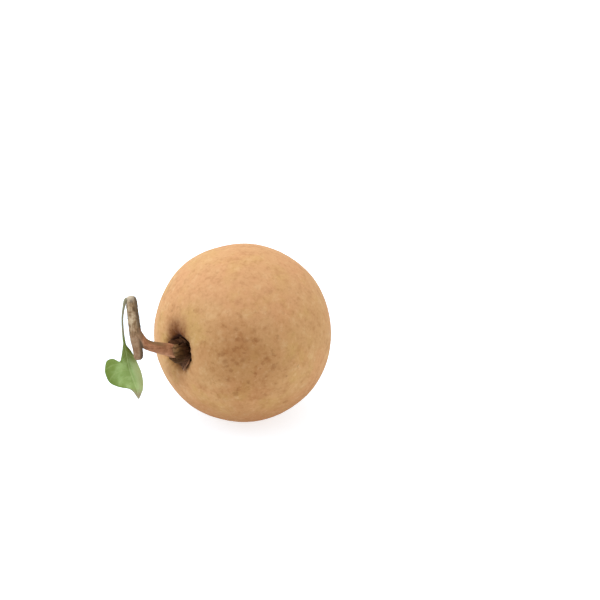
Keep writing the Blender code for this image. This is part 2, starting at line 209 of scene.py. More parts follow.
class Paint:  # one material
    def __init__(self, name, **fixed):  # fixed holds what is the same all over, by socket name
        self.material = bpy.data.materials.new(name)
        self.material.use_nodes = True
        self.tree = self.material.node_tree
        self.shader = self.tree.nodes["Principled BSDF"]
        for socket, value in fixed.items():
            self.shader.inputs[socket].default_value = value
        sockets = {"Vector": self.add("ShaderNodeTexCoord", {}, {}, "Object"), "Scale": 1 / mm}
        self.place = self.add("ShaderNodeVectorMath", {"operation": "SCALE"}, sockets)  # in mm

    def add(self, kind, settings, sockets, out=0):
        node = self.tree.nodes.new(kind)
        count = len(self.tree.nodes)
        node.location = (210 * (count % 11), -240 * (count // 11))
        for key, value in settings.items():
            if key == "stops":
                self.setStops(node.color_ramp.elements, value)
            else:
                setattr(node, key, value)
        for key, value in sockets.items():
            if isinstance(value, Wire):
                self.tree.links.new(value.socket, node.inputs[key])
            else:
                node.inputs[key].default_value = value
        return Wire(self, node.outputs[out])

    def setStops(self, elements, stops):
        while len(elements) < len(stops):
            elements.new(1.0)
        for element, stop in zip(elements, stops):
            element.position, element.color = stop

    def work(self, operation, a, b=0.0):
        return self.add("ShaderNodeMath", {"operation": operation}, {0: a, 1: b})

    def mark(self, name, out="Fac"):
        return self.add("ShaderNodeAttribute", {"attribute_name": name}, {}, out)

    def away(self, point):  # mm from a point
        sockets = {0: self.place, 1: tuple(point)}
        return self.add("ShaderNodeVectorMath", {"operation": "DISTANCE"}, sockets, "Value")

    def tones(self, value, *stops):  # one colour after another as the value grows
        stops = [(position, tint(code)) for position, code in stops]
        return self.add("ShaderNodeValToRGB", {"stops": stops}, {0: value}, "Color")

    def cloud(self, size, detail=3.0, roughness=0.55, shift=0.0, place=None):  # size of its spots in mm
        spot = place or self.place
        if shift:  # sets one cloud apart from the next
            move = (shift, -shift, 0.5 * shift)
            spot = self.add("ShaderNodeVectorMath", {"operation": "ADD"}, {0: spot, 1: move})
        sockets = {"Vector": spot, "Scale": 1 / size, "Detail": detail, "Roughness": roughness}
        return self.add("ShaderNodeTexNoise", {}, sockets)

    def ramp(self, value, start, full):  # 0 up to the start and 1 from full on, whichever is greater
        sockets = {"Value": value, "From Min": start, "From Max": full}
        return self.add("ShaderNodeMapRange", {"interpolation_type": "SMOOTHSTEP"}, sockets)

    def blend(self, a, b, share):  # each colour is a wire or a web colour
        a, b = (tint(colour) if isinstance(colour, str) else colour for colour in (a, b))
        return self.add("ShaderNodeMix", {"data_type": "RGBA"}, {0: share, 6: a, 7: b}, 2)

    def lay(self, colour, code, spread, value, within=None):  # a web colour over part of another
        start, full, share = spread  # the values between which it grows, and its greatest share
        mask = self.ramp(value, start, full)
        if within:
            mask = mask * within
        return self.blend(colour, code, mask * share)

    def dots(self, spacing, radius, kept, ragged):  # soft dots, in a share of the cells
        cells = {"Vector": self.place, "Scale": 1 / spacing}
        reach, code = (self.add("ShaderNodeTexVoronoi", {}, cells, out) for out in ("Distance", "Color"))
        reach = reach + (self.cloud(radius, 3, 0.6) - 0.5) * ragged
        pick = self.add("ShaderNodeSeparateColor", {}, {0: code}, "Red")
        near = self.ramp(reach, radius / spacing, 0.45 * radius / spacing)
        return near * self.ramp(pick, 1 - kept, 1.02 - kept)

    def grooved(self, height, strength, depth):  # depth in mm
        sockets = {"Strength": strength, "Distance": depth * mm, "Height": height}
        return self.add("ShaderNodeBump", {}, sockets)

    def finish(self, colour, roughness, normal):
        for socket, wire in (("Base Color", colour), ("Roughness", roughness), ("Normal", normal)):
            self.tree.links.new(wire.socket, self.shader.inputs[socket])
        return self.material


def tint(code):  # a web colour as Blender's linear one
    parts = [int(code[n : n + 2], 16) / 255 for n in (0, 2, 4)]
    return (*[((c + 0.055) / 1.055) ** 2.4 if c > 0.04 else c / 12.92 for c in parts], 1.0)


# Meshes


def newObject(name, data):
    thing = bpy.data.objects.new(name, data)
    bpy.context.scene.collection.objects.link(thing)
    return thing


def newPiece(name, points, faces, material, node, names, rows):  # rows: each point's marks
    mesh = bpy.data.meshes.new(name)
    mesh.from_pydata([point * mm for point in points], [], faces)
    mesh.update()
    mesh.shade_smooth()
    mesh.materials.append(material)
    for mark, values in zip(names, zip(*rows)):
        if isinstance(values[0], Vector):
            flat = [part for value in values for part in value]
            mesh.attributes.new(mark, "FLOAT_VECTOR", "POINT").data.foreach_set("vector", flat)
        else:
            mesh.attributes.new(mark, "FLOAT", "POINT").data.foreach_set("value", values)
    piece = newObject(name, mesh)
    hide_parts(node)
    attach(piece, body)
    print(name, "made with", len(mesh.vertices), "points")
    return piece


def loft(rings):  # points and faces of a closed skin over rings of equally many points
    size = len(rings[0])
    faces = []
    for row in range(len(rings) - 1):
        for n in range(size):
            after = (n + 1) % size
            low, high = row * size, (row + 1) * size
            faces.append((low + n, low + after, high + after, high + n))
    faces.append(tuple(range(size))[::-1])
    faces.append(tuple((len(rings) - 1) * size + n for n in range(size)))
    return [point for ring in rings for point in ring], faces


def biggestPart(points, faces, normals):  # without the specks that a remesh leaves
    owner = list(range(len(points)))

    def first(n):
        while owner[n] != n:
            owner[n] = owner[owner[n]]
            n = owner[n]
        return n

    for face in faces:
        for n in face[1:]:
            owner[first(n)] = first(face[0])
    owners = [first(n) for n in range(len(points))]
    biggest = max(set(owners), key=owners.count)
    kept = [n for n, part in enumerate(owners) if part == biggest]
    order = {n: index for index, n in enumerate(kept)}
    joined = [tuple(order[n] for n in face) for face in faces if face[0] in order]
    return [points[n] for n in kept], joined, [normals[n] for n in kept]


def fused(shells, voxel, rounds):  # one skin round several closed shells, as (points, faces, normals)
    points, faces = [], []
    for shellPoints, shellFaces in shells:
        start = len(points)
        points += [point * mm for point in shellPoints]
        faces += [tuple(start + n for n in face) for face in shellFaces]
    mesh = bpy.data.meshes.new("shells")
    mesh.from_pydata(points, [], faces)
    thing = newObject("shells", mesh)
    remesh = thing.modifiers.new("Fuse", "REMESH")
    remesh.mode = "VOXEL"
    remesh.voxel_size = voxel * mm
    smooth = thing.modifiers.new("Smooth", "SMOOTH")
    smooth.iterations = rounds
    result = thing.evaluated_get(bpy.context.evaluated_depsgraph_get()).to_mesh()
    made = (
        [vertex.co / mm for vertex in result.vertices],
        [tuple(polygon.vertices) for polygon in result.polygons],
        [vertex.normal.copy() for vertex in result.vertices],
    )
    bpy.data.objects.remove(thing)
    bpy.data.meshes.remove(mesh)
    return biggestPart(*made)


# Fruit


def pitOut(x, y):  # how far from the pit's middle, seen along the stalk's axis
    return hypot(x - fruit["pitShift"][0], y - fruit["pitShift"][1])


def pitDrop(x, y):  # how far the pit lies under the fruit's plain round shape
    pucker = fruit["pitPucker"] * cos(fruit["pitPuckers"] * atan2(y, x) + fruit["puckerTurn"])
    out = pitOut(x, y) / fruit["pitRadius"] / (1 + pucker)
    return fruit["pitDepth"] / (1 + out ** fruit["pitSteepness"])


def stalkEndHeight(x, y):
    power = fruit["fullness"]
    dome = fruit["halfLength"] * (1 - (hypot(x, y) / fruit["halfWidth"]) ** power) ** (1 / power)
    return dome - pitDrop(x, y)


def skinPoint(angle, turn):
    power = fruit["fullness"]
    around, along = sin(angle), cos(angle)
    reach = (around**power + abs(along) ** power) ** (-1 / power)
    out = fruit["halfWidth"] * around * reach
    x, y = out * cos(turn), out * sin(turn)
    height = fruit["halfLength"] * along * reach
    if along > 0:
        height -= pitDrop(x, y)
    else:
        height += fruit["tipDimple"] * exp(-((out / fruit["tipDimpleRadius"]) ** 2))
        height -= (fruit["tipHeight"] + fruit["tipDimple"]) * exp(-((out / fruit["tipRadius"]) ** 2))
    point = Vector((x, y, height))
    fadeIn = smoothStep(angle / radians(fruit["smoothEnd"]) - 0.5)
    relief = noise(point / fruit["lumpSize"]) * fruit["lumpHeight"] * fadeIn
    relief += noise(point / fruit["dentSize"]) * fruit["dentHeight"]
    relief += noise(point / fruit["scurfSize"]) * fruit["scurfHeight"]
    if along > 0:
        fromRing = pitOut(x, y) - fruit["wrinkleRing"] * fruit["pitRadius"]
        bend = fruit["wrinkleBend"] * noise(point / fruit["wrinkleBendSize"])
        rim = exp(-((fromRing / fruit["wrinkleReach"]) ** 2))
        relief += rim * sin(fruit["wrinkles"] * turn + bend) * fruit["wrinkleHeight"]
    return point + point.normalized() * relief, out


def makeFruit():
    rings, sides = fruit["rings"], fruit["sides"]
    place = fruitPlace()
    points, rows = [], []

    def keep(angle, turn):
        local, out = skinPoint(angle, turn)
        point = place @ local
        point.z = max(point.z, 0.0)  # the small flat spot that it rests on
        points.append(point)
        far = 2 * fruit["halfWidth"]
        stalkOut, tipOut = pitOut(local.x, local.y), out
        rows.append((stalkOut if angle < pi / 2 else far, tipOut if angle > pi / 2 else far))

    keep(0, 0)
    for ring in range(1, rings):
        share = ring / rings
        angle = pi * share - fruit["ringCrowding"] / 2 * sin(2 * pi * share)
        for side in range(sides):
            keep(angle, 2 * pi * side / sides)
    keep(pi, 0)
    last = len(points) - 1
    faces = []
    for side in range(sides):
        after = (side + 1) % sides
        faces.append((0, 1 + side, 1 + after))
        faces.append((last, last - sides + after, last - sides + side))
        for ring in range(rings - 2):
            low, high = 1 + ring * sides, 1 + (ring + 1) * sides
            faces.append((low + side, high + side, high + after, low + after))
    names = ("stalkOut", "tipOut")  # mm from the pit's middle and from the blossom end
    return newPiece("fruitSkin", points, faces, skinPaint(), "fruit", names, rows)


skin = {
    "shader": {"Specular IOR Level": 0.18, "Sheen Weight": 0.04, "Sheen Roughness": 0.5},
    "sheen": "e8c8a0",
    "tan": "be9160",
    "pink": "c08d5e",
    "straw": "b99554",
    "brown": "925a2c",
    "rosy": "cc9c80",
    "crumb": "724c2a",
    "pale": "d0ac7c",
    "mark": "7e4a22",
    "speck": "5e3f24",
    "darkBrown": "6a370a",
    "rust": "5a2404",
    # the darkest brown: painted shade in the pit and at its upper rim, and the dried style's own colour at
    # the blossom end
    "pitShadeAndStyleBrown": "3c1d0e",
    "clouds": {  # spot size in mm, detail, roughness and shift
        "pink": (17, 2, 0.55),
        "straw": (13, 3, 0.6, 40),
        "soft": (4.2, 4, 0.6, 23),
        "drift": (8, 4, 0.6, 11),
        "scurf": (2.1, 4, 0.62, 61),
        "clusters": (8.0, 2, 0.55, 71),
        "marks": (2.3, 2, 0.6, 83),
        "wobble": (1.4, 4, 0.65, 91),
        "grain": (1.2, 4, 0.6, 5),
        "ragged": (2.2, 4, 0.65, 31),
        "torn": (1.5, 3, 0.6, 45),
        "tip": (1.6, 4, 0.6, 37),
        "fine": (0.4, 4, 0.7, 53),
    },
    # how each layer spreads: the two values between which it grows, and its greatest share
    "pinkSpread": (0.42, 0.62, 0.8),
    "strawSpread": (0.48, 0.7, 0.5),
    "softBrown": (0.5, 0.72, 0.36),
    "softPale": (0.47, 0.28, 0.42),
    "crumbSpread": (0.5, 0.76, 0.18),
    "paleGrain": (0.47, 0.26, 0.22),
    "underside": (32, 4, 0.72),  # mm above the floor; browner towards the bottom: painted shade
    # painted highlight: rosier and lighter towards the top
    "topHighlight": (44, 68, 0.2),
    "patch": (11, 1, 0.28),  # mm from its middle, as for the next seven
    "underPit": (10.0, 2.0, 0.4),
    "halo": (8.8, 1.5, 0.86),
    # painted shade: the darkest part of the halo, at the pit's upper rim
    "haloCore": (3.3, 0.9, 0.75),
    "pitRim": (9.2, 6.5, 0.62),
    # painted shade: the pit's floor made darkest, where the cavity lies in shadow
    "pitFloor": (7.0, 5.6, 1.0),
    "tipRing": (6.5, 2.0, 0.7),
    "tipEnd": (2.3, 1.0, 1.0),
    "places": {  # right, up and near from the fruit's centre
        "cheek": (2.0, -12.0, 32.5),  # the browner side: a real brown patch, with painted shade where it faces the camera
        "back": (14, 6, -31),  # a fainter one on the far side
        "patch": (-2.7, -3.6, 34.6),  # the brownest part of the cheek: real brown, partly painted shade
        "halo": (-23.3, 0.5, 20.9),  # brown scurf above the pit, with painted shade where it slopes into the pit
        # painted shade at the pit's upper rim
        "haloCore": (-23.5, -0.7, 19.8),
        "underPit": (-25.0, -14.0, 15.0),  # fainter brown below it
    },
    "drift": 22,  # mm that the edges of the big patches wander
    "patchDrift": 0.4,  # the share of it round the patch
    "levelDrift": 0.6,  # and where the underside and the top start
    "cheekSize": (25, 4),  # mm from its place where it starts and where it is full
    "cheekShare": 0.4,
    "backSize": (24, 4),
    "backShare": 0.7,
    "scurf": (0.5, 0.7),
    "scurfShare": (0.12, 0.3),  # all over, and what the cheek adds
    "clusters": (0.42, 0.56),
    "marks": (0.56, 0.68, 0.4),
    "marksShare": (0.4, 0.6),  # all over, and what the cheek adds
    "scars": [  # corky marks on the cheek, and their radii
        ((-1.3, 1.8, 34.8), 0.9), ((-0.9, -2.1, 34.8), 0.8), ((-6.9, -7.5, 33.2), 1.0),
        ((-5.8, -10.5, 32.7), 1.1), ((-2.8, -9.8, 33.3), 0.8), ((-1.4, -11.2, 33.1), 0.9),
        ((0.9, -10.0, 33.5), 1.0), ((-3.7, -14.0, 31.8), 0.9), ((-5.2, -17.5, 29.7), 1.0),
        ((-2.0, -23.0, 26.4), 1.1), ((2.9, -18.3, 29.6), 0.7), ((12.7, -12.2, 30.1), 1.0),
        ((9.9, -9.1, 32.2), 0.7), ((17.0, -26.4, 14.9), 1.0), ((14.1, -1.5, 31.8), 0.7),
    ],
    "scarEdge": (1.7, 0.1),  # where one starts and where it is full, in radii
    "scarWobble": 3.0,
    "scarShare": 0.42,
    "specks": (4.4, 0.6, 0.16, 0.35),  # spacing, radius, share of the cells, raggedness
    "speckShare": 0.32,
    "torn": (0.46, 0.6, 0.45),  # rusty flakes in the halo
    "tornReach": (6.5, 2.5),
    "roughness": (0.74, 0.2),  # the least, and what the grain adds
    "relief": (0.7, 0.35, 0.3, 0.3),  # of the grain, fine grain, specks and scurf
    "bump": (0.42, 0.14),  # strength and depth
}


def skinPaint():
    paint = Paint("scurfySkin", **skin["shader"], **{"Sheen Tint": tint(skin["sheen"])})
    clouds = {name: paint.cloud(*cloud) for name, cloud in skin["clouds"].items()}
    away = {name: paint.away(seen(*place)) for name, place in skin["places"].items()}

    def lay(colour, code, spread, *value):
        return paint.lay(colour, skin[code], skin[spread], *value)

    colour = lay(skin["tan"], "pink", "pinkSpread", clouds["pink"])
    colour = lay(colour, "straw", "strawSpread", clouds["straw"])
    colour = lay(colour, "brown", "softBrown", clouds["soft"])
    colour = lay(colour, "pale", "softPale", clouds["soft"])
    drift = skin["drift"] * (clouds["drift"] - 0.5)
    cheek = paint.ramp(away["cheek"] + drift, *skin["cheekSize"])
    back = paint.ramp(away["back"] + drift, *skin["backSize"]) * skin["backShare"]
    cheek = paint.work("MAXIMUM", cheek, back)
    # a browner cheek and patch: real brown, partly painted shade on the middle that faces the camera
    colour = paint.blend(colour, skin["brown"], cheek * skin["cheekShare"])
    colour = lay(colour, "brown", "patch", away["patch"] + drift * skin["patchDrift"])
    rise = paint.add("ShaderNodeSeparateXYZ", {}, {0: paint.place}, "Z") + drift * skin["levelDrift"]
    # painted shade: browner towards the bottom
    colour = lay(colour, "brown", "underside", rise)
    # painted highlight: rosier and lighter towards the top
    colour = lay(colour, "rosy", "topHighlight", rise)
    scurf = paint.ramp(clouds["scurf"], *skin["scurf"])
    plain, added = skin["scurfShare"]
    colour = paint.blend(colour, skin["brown"], scurf * (plain + added * cheek))
    plain, added = skin["marksShare"]
    clusters = paint.ramp(clouds["clusters"], *skin["clusters"]) * (plain + added * cheek)
    colour = lay(colour, "mark", "marks", clouds["marks"], clusters)
    wobble = skin["scarWobble"] * (clouds["wobble"] - 0.5)
    scars = 0.0
    for place, radius in skin["scars"]:
        edge = [radius * share for share in skin["scarEdge"]]
        scars = paint.work("MAXIMUM", paint.ramp(paint.away(seen(*place)) + wobble, *edge), scars)
    colour = paint.blend(colour, skin["mark"], scars * skin["scarShare"])
    colour = lay(colour, "crumb", "crumbSpread", clouds["grain"])
    colour = lay(colour, "pale", "paleGrain", clouds["grain"])
    specks = paint.dots(*skin["specks"])
    colour = paint.blend(colour, skin["speck"], specks * skin["speckShare"])
    ragged = clouds["ragged"] - 0.5
    colour = lay(colour, "darkBrown", "underPit", away["underPit"] + 3 * ragged)
    halo = away["halo"] + 4 * ragged
    # brown scurf above the pit, with painted shade where it slopes into the pit
    colour = lay(colour, "darkBrown", "halo", halo)
    inHalo = paint.ramp(halo, *skin["tornReach"])
    colour = lay(colour, "rust", "torn", clouds["torn"], inHalo)
    # painted shade: darkest at the pit's upper rim
    colour = lay(colour, "pitShadeAndStyleBrown", "haloCore", away["haloCore"] + 3 * ragged)
    stalkOut = paint.mark("stalkOut") + 1.6 * ragged
    colour = lay(colour, "darkBrown", "pitRim", stalkOut)
    # painted shade: the pit's floor made darkest, where the cavity lies in shadow
    colour = lay(colour, "pitShadeAndStyleBrown", "pitFloor", stalkOut)
    tipOut = paint.mark("tipOut") + 2.5 * (clouds["tip"] - 0.5)
    colour = lay(colour, "brown", "tipRing", tipOut)
    # the dried style's own dark brown at the blossom end
    colour = lay(colour, "pitShadeAndStyleBrown", "tipEnd", tipOut)
    grainHigh, fineHigh, specksHigh, scurfHigh = skin["relief"]
    height = clouds["grain"] * grainHigh + clouds["fine"] * fineHigh
    height = height + specks * specksHigh + scurf * scurfHigh
    least, added = skin["roughness"]
    return paint.finish(colour, least + clouds["grain"] * added, paint.grooved(height, *skin["bump"]))


# Calyx

calyx = {
    "spreads": [(165, 7.3), (98, 6.7), (319, 7.0)],  # sepals that lie in the pit: degrees, and reach
    "clasps": [(30, 9.5), (190, 5.3), (285, 6.5)],  # up against the stalk: degrees, and length
    "root": 1.0,
    "width": 6.6,
    "rootShare": 0.62,  # how wide a sepal is at its root, against its widest
    "bluntTip": 0.35,
    "thickness": 0.72,
    "thinEdge": 0.3,  # the share of it that the edges lack
    "clearance": 0.3,
    "curl": 0.5,
    "twist": 0.35,
    "edgeRoll": 0.35,  # how far the edges curl up
    "tears": 0.12,
    "tearsAlong": 9,
    "ridge": 0.28,
    "ridgeWidth": 0.16,  # against half the sepal's width
    "crinkle": 0.16,
    "crinkles": 0.9,  # for each mm
    "claspRoot": 29.0,  # how far along the stalk's axis they start
    "claspOut": (3.95, 3.05),  # how far from it they start and end
    "claspHalfTurn": 62,  # degrees
    "claspTip": 0.07,
    "claspFullness": 3.4,
    "claspThickness": 0.42,
    "claspRidge": 0.18,
    "claspRidgeWidth": 0.2,
    "claspWave": 0.2,
    "discRadius": 3.5,
    "discTop": 3.0,
    "discFoot": 0.35,
    "discHeight": 3.3,
    "discBevel": 0.3,
    "discLevels": (0.0, 0.04, 0.5, 0.94, 1.0),
    "discSides": 36,
    "scurf": [(0.9, 0.07), (0.4, 0.04)],  # size and height
    "ribs": 14,
    "ribHeight": 0.08,
    "rows": 30,
    "columns": 18,
    "voxel": 0.12,
    "smoothing": 3,
    # those in the pit, and those on the stalk from foot to tip
    "spreadTones": [(0.35, "2b1509"), (0.52, "40230f"), (0.7, "573721")],
    "claspTones": [(0.25, "281506"), (0.5, "4c3118"), (0.72, "755634"), (0.88, "957350")],
    # tints, the values between which each grows, and its greatest share
    "upperLit": ("6e4930", (-2.8, -5.2, 0.85)),
    "footLit": ("5f4529", (5.0, 2.0, 0.7)),
    # painted shade: darker in the furrows between the ribs
    "furrowShade": ("2a1607", (-0.1, -0.9, 0.45)),
    "flecks": ("8a6a48", (0.54, 0.78, 0.35)),
    # pale sepal tips on the lit side only: their own pale colour and a painted highlight
    "paleTipsAndHighlight": ("8c6a50", (5.8, 6.8, 0.7)),
    "lowerLit": "8a6248",
    "lowerLitShare": 0.8,
    "litSide": (0.6, 3.6),
    "stalkClimb": (2.2, 3.6),  # mm along the stalk and out from it where the clasping sepals start
    "stalkReach": (5.6, 4.8),
    "roughness": (0.72, 0.22),
    "bump": (0.8, 0.14),
}


def clearOfSkin(point):  # the place in the fruit's own frame, raised where it would be in the skin
    lowest = stalkEndHeight(point.x, point.y) + calyx["clearance"]
    return Vector((point.x, point.y, max(point.z, lowest)))


def sepalRings(turn, reach):  # a sepal that lies in the pit
    outward = Vector((cos(radians(turn)), sin(radians(turn))))
    across = Vector((-outward.y, outward.x))
    uneven = noise(Vector((turn, 0.3, 0.8)))
    rings = []
    for row in range(calyx["rows"] + 1):
        share = row / calyx["rows"]
        swell = calyx["rootShare"] + (1 - calyx["rootShare"]) * sin(pi * share)
        halfWidth = max(calyx["width"] / 2 * swell * (1 - share**4) ** 0.6, calyx["bluntTip"])
        under, over = [], []
        for column in range(calyx["columns"] + 1):
            side = 2 * column / calyx["columns"] - 1
            tear = noise(Vector((share * calyx["tearsAlong"], turn, 0.5 * copysign(1, side))))
            flat = outward * (calyx["root"] + (reach - calyx["root"]) * share)
            flat += across * side * halfWidth * (1 + calyx["tears"] * tear)
            lift = calyx["curl"] * share**3 + calyx["twist"] * uneven * share * side
            lift += calyx["edgeRoll"] * side**4 * share
            lift += calyx["crinkle"] * noise(Vector((flat.x, flat.y, turn)) * calyx["crinkles"])
            height = stalkEndHeight(flat.x, flat.y) + calyx["clearance"] + max(lift, 0)
            thickness = calyx["thickness"] * (1 - calyx["thinEdge"] * side * side)
            thickness += calyx["ridge"] * exp(-((side / calyx["ridgeWidth"]) ** 2)) * (1 - share)
            under.append(Vector((flat.x, flat.y, height)))
            over.append(Vector((flat.x, flat.y, height + thickness)))
        rings.append(under + over[::-1])
    return rings


def claspRoute():  # from inside the pit along the stalk, in the fruit's own frame
    back = fruitPlace().inverted()
    return [Vector((0, 0, calyx["claspRoot"]))] + [back @ point for point in stalkPoints()]


def claspRings(turn, length):  # a sepal that stands up against the stalk
    points = claspRoute()
    route, whole = spacedKeys(points), routeLength(points)
    footOut, tipOut = calyx["claspOut"]
    rings = []
    for row in range(calyx["rows"] + 1):
        share = row / calyx["rows"]
        narrowing = max(1 - share ** calyx["claspFullness"], 0.0) ** 0.5
        halfTurn = radians(calyx["claspHalfTurn"]) * narrowing + calyx["claspTip"]
        thickness = calyx["claspThickness"] * (1.1 - 0.5 * share)
        inner, outer = [], []
        for column in range(calyx["columns"] + 1):
            side = 2 * column / calyx["columns"] - 1
            angle = radians(turn) + side * halfTurn
            wave = noise(Vector((cos(angle) * 3, sin(angle) * 3, share * 4 + turn)))
            wave *= calyx["claspWave"]
            place = (length * share * (1 - 0.1 * side * side) + wave) / whole
            along = heading(route, place)
            across = squared(Vector((1, 0, 0)), along)
            around = across * cos(angle) + along.cross(across) * sin(angle)
            out = footOut + (tipOut - footOut) * smoothStep(share) + wave * share
            ridge = calyx["claspRidge"] * (1 - share) * exp(-((side / calyx["claspRidgeWidth"]) ** 2))
            inner.append(clearOfSkin(follow(route, place) + around * (out - thickness)))
            outer.append(clearOfSkin(follow(route, place) + around * (out + ridge)))
        rings.append(inner + outer[::-1])
    return rings


def discRings():  # what the sepals grow from
    floor = stalkEndHeight(0, 0) + calyx["discFoot"]
    rings = []
    for share in calyx["discLevels"]:
        radius = calyx["discRadius"] + (calyx["discTop"] - calyx["discRadius"]) * share
        radius -= calyx["discBevel"] if share in (0.0, 1.0) else 0.0
        height = floor + (calyx["discHeight"] - 1.0) * share  # its last mm is added once it is clear
        turns = (2 * pi * n / calyx["discSides"] for n in range(calyx["discSides"]))
        ring = [Vector((radius * cos(turn), radius * sin(turn), height)) for turn in turns]
        rings.append([clearOfSkin(point) + Vector((0, 0, share)) for point in ring])
    return rings


def makeCalyx():
    place = fruitPlace()
    shapes = [discRings()]
    shapes += [sepalRings(*spread) for spread in calyx["spreads"]]
    shapes += [claspRings(*clasp) for clasp in calyx["clasps"]]
    shells = [loft([[place @ point for point in ring] for ring in rings]) for rings in shapes]
    points, faces, normals = fused(shells, calyx["voxel"], calyx["smoothing"])
    back = place.inverted()
    samples, whole = sampled(spacedKeys(claspRoute())), routeLength(claspRoute())
    rows = []
    for index, (point, normal) in enumerate(zip(points, normals)):
        scurf = sum(noise(point / size) * height for size, height in calyx["scurf"])
        local = back @ point
        ribs = sin(calyx["ribs"] * atan2(local.y, local.x) + 2 * noise(point / 2))
        points[index] = point + normal * (scurf + calyx["ribHeight"] * ribs)
        reach, climb = hypot(local.x, local.y), nearestOn(samples, local)[1] * whole
        lit = 0.5 * local.x - local.y  # how far to the side that the light reaches
        rows.append((reach, climb, lit, ribs))
    names = ("reach", "climb", "lit", "ribs")
    return newPiece("driedCalyx", points, faces, calyxPaint(), "calyx", names, rows)


def calyxPaint():
    paint = Paint("driedSepals", **{"Specular IOR Level": 0.08})
    grain = paint.cloud(0.6, 5, 0.65)
    broad = paint.cloud(2.0, 4, 0.6, 7)
    loose = broad - 0.5
    reach, climb, side, ribs = (paint.mark(name) for name in ("reach", "climb", "lit", "ribs"))
    lit = paint.ramp(side + 2.4 * loose, *calyx["litSide"])
    spread = paint.tones(broad, *calyx["spreadTones"])
    spread = paint.lay(spread, *calyx["upperLit"], side + 1.6 * loose)
    spread = paint.blend(spread, calyx["lowerLit"], lit * calyx["lowerLitShare"])
    clasp = paint.tones(climb * 0.1 + 0.36 * loose, *calyx["claspTones"])
    clasp = paint.lay(clasp, *calyx["footLit"], climb, lit)
    onStalk = paint.ramp(climb + 1.2 * loose, *calyx["stalkClimb"]) * paint.ramp(reach, *calyx["stalkReach"])
    colour = paint.blend(spread, clasp, onStalk)
    # painted shade in the furrows between the ribs
    colour = paint.lay(colour, *calyx["furrowShade"], ribs + 1.5 * (grain - 0.5))
    colour = paint.lay(colour, *calyx["flecks"], grain)
    # pale sepal tips on the lit side only: their own pale colour and a painted highlight
    colour = paint.lay(colour, *calyx["paleTipsAndHighlight"], reach + 1.8 * loose, lit)
    least, added = calyx["roughness"]
    return paint.finish(colour, least + grain * added, paint.grooved(grain, *calyx["bump"]))


# Stalk and twig

wood = {
    "straight": 1.3,
    "stalkRoute": [
        (-27.0, -6.4, 22.4), (-30.7, -5.5, 26.0), (-33.9, -4.75, 29.0),
        (-36.5, -3.5, 31.1), (-38.7, -1.3, 32.2), (-39.8, 1.4, 32.1),
    ],
    "stalkRadii": [2.6, 2.7, 2.5, 2.24, 2.0, 2.0, 2.35, 1.8],
    "twigRoute": [
        (-41.65, 14.5, 29.8), (-41.25, 10.6, 30.6), (-40.5, 4.8, 31.5),
        (-39.6, -0.9, 32.4), (-38.9, -5.6, 33.0), (-38.45, -9.9, 33.3),
    ],
    "twigRadii": [1.95, 2.2, 2.25, 2.35, 1.95, 1.68],
    # each end's rounding: mm in from the end, and the share of the radius there
    "footRounding": [(0.0, 0.6), (0.2, 0.84), (0.5, 0.95), (0.9, 1.0)],
    "topRounding": [(0.0, 0.3), (0.12, 0.52), (0.4, 0.72), (0.9, 0.88), (1.7, 0.97), (2.6, 1.0)],
    "lowRounding": [(0.0, 0.4), (0.15, 0.66), (0.45, 0.86), (1.0, 0.97), (1.5, 1.0)],
    "sides": 40,
    "rings": 90,
    "voxel": 0.15,
    "grooveHeight": 0.13,
    "grooveSize": 0.85,  # across the grain, and they run "grooveStretch" times as long
    "grooveStretch": 4.0,
    "crustHeight": 0.1,
    "crustSize": 1.5,
    "wartHeight": 0.16,
    "wartSpacing": 1.9,
    "knobs": [  # where each swelling is, and its half widths
        ((-42.7, 12.9, 30.8), (0.9, 0.95, 1.3)),  # cushion under the petiole
        ((-41.0, 9.2, 32.4), (0.9, 0.7, 1.1)),  # bud
        ((-39.5, 6.6, 30.0), (1.1, 0.9, 0.9)),  # leaf scars
        ((-39.9, -3.4, 33.9), (1.1, 0.8, 0.8)), ((-37.6, -7.4, 32.2), (0.8, 0.8, 0.9)),
    ],
    "smoothing": 4,
    "join": (3.0, 0.25),  # mm over which the twig's bark becomes the stalk's, and how soon
    "stalkCalm": (0.45, 0.5, 0.6),  # how much lower its grooves, crust and warts are than the twig's
    "wartRadius": 0.3,
    "cutFacing": (0.6, 0.3),  # how squarely the bare cut faces the twig's end
    "cutDepth": 0.01,
    "cutCalm": 0.7,
    "twigTones": [(0.38, "5a4630"), (0.45, "84694a"), (0.52, "a38c6f"), (0.6, "bfaa8c"), (0.68, "cbbb9e")],
    "stalkTones": [(0.36, "744a2f"), (0.5, "a06c4b"), (0.64, "b98362")],
    "cutTones": [(0.4, "9c937d"), (0.65, "665846")],
    "cutShare": 0.8,
    # tints and their spreads, as for the calyx
    "lowTwig": ("8a654b", (0.42, 0.75, 0.6)),
    "twigPits": ("453423", (0.54, 0.74, 0.55)),
    "greyTop": ("bfb5a3", (0.16, 0.02, 0.6)),
    # painted shade: darker on the right side, away from the light
    "shadedSide": ("4f3f2d", (0.2, 0.75, 0.85)),
    "stalkPits": ("573a25", (0.55, 0.74, 0.45)),
    "olive": ("66512f", (0.3, 0.9, 0.75)),
    "oliveFrom": (7.0, 13.0),  # mm from the foot
    # olive-brown and darker at the foot, where it goes into the pit: partly the stalk's own colour, partly
    # painted shade
    "foot": ("54442b", (3.6, 2.2, 1.0)),
    "stalkBark": (0.08, 0.55),
    "roughness": (0.68, 0.25),
    "bump": (0.8, 0.18),
}


def stalkPoints():
    foot = stalkEndHeight(0, 0) + calyx["discHeight"] - 0.2
    start = [fruitCentre + stalkAxis * (foot + rise) for rise in (0, wood["straight"] + 0.6)]
    return start + [seen(*point) for point in wood["stalkRoute"]]


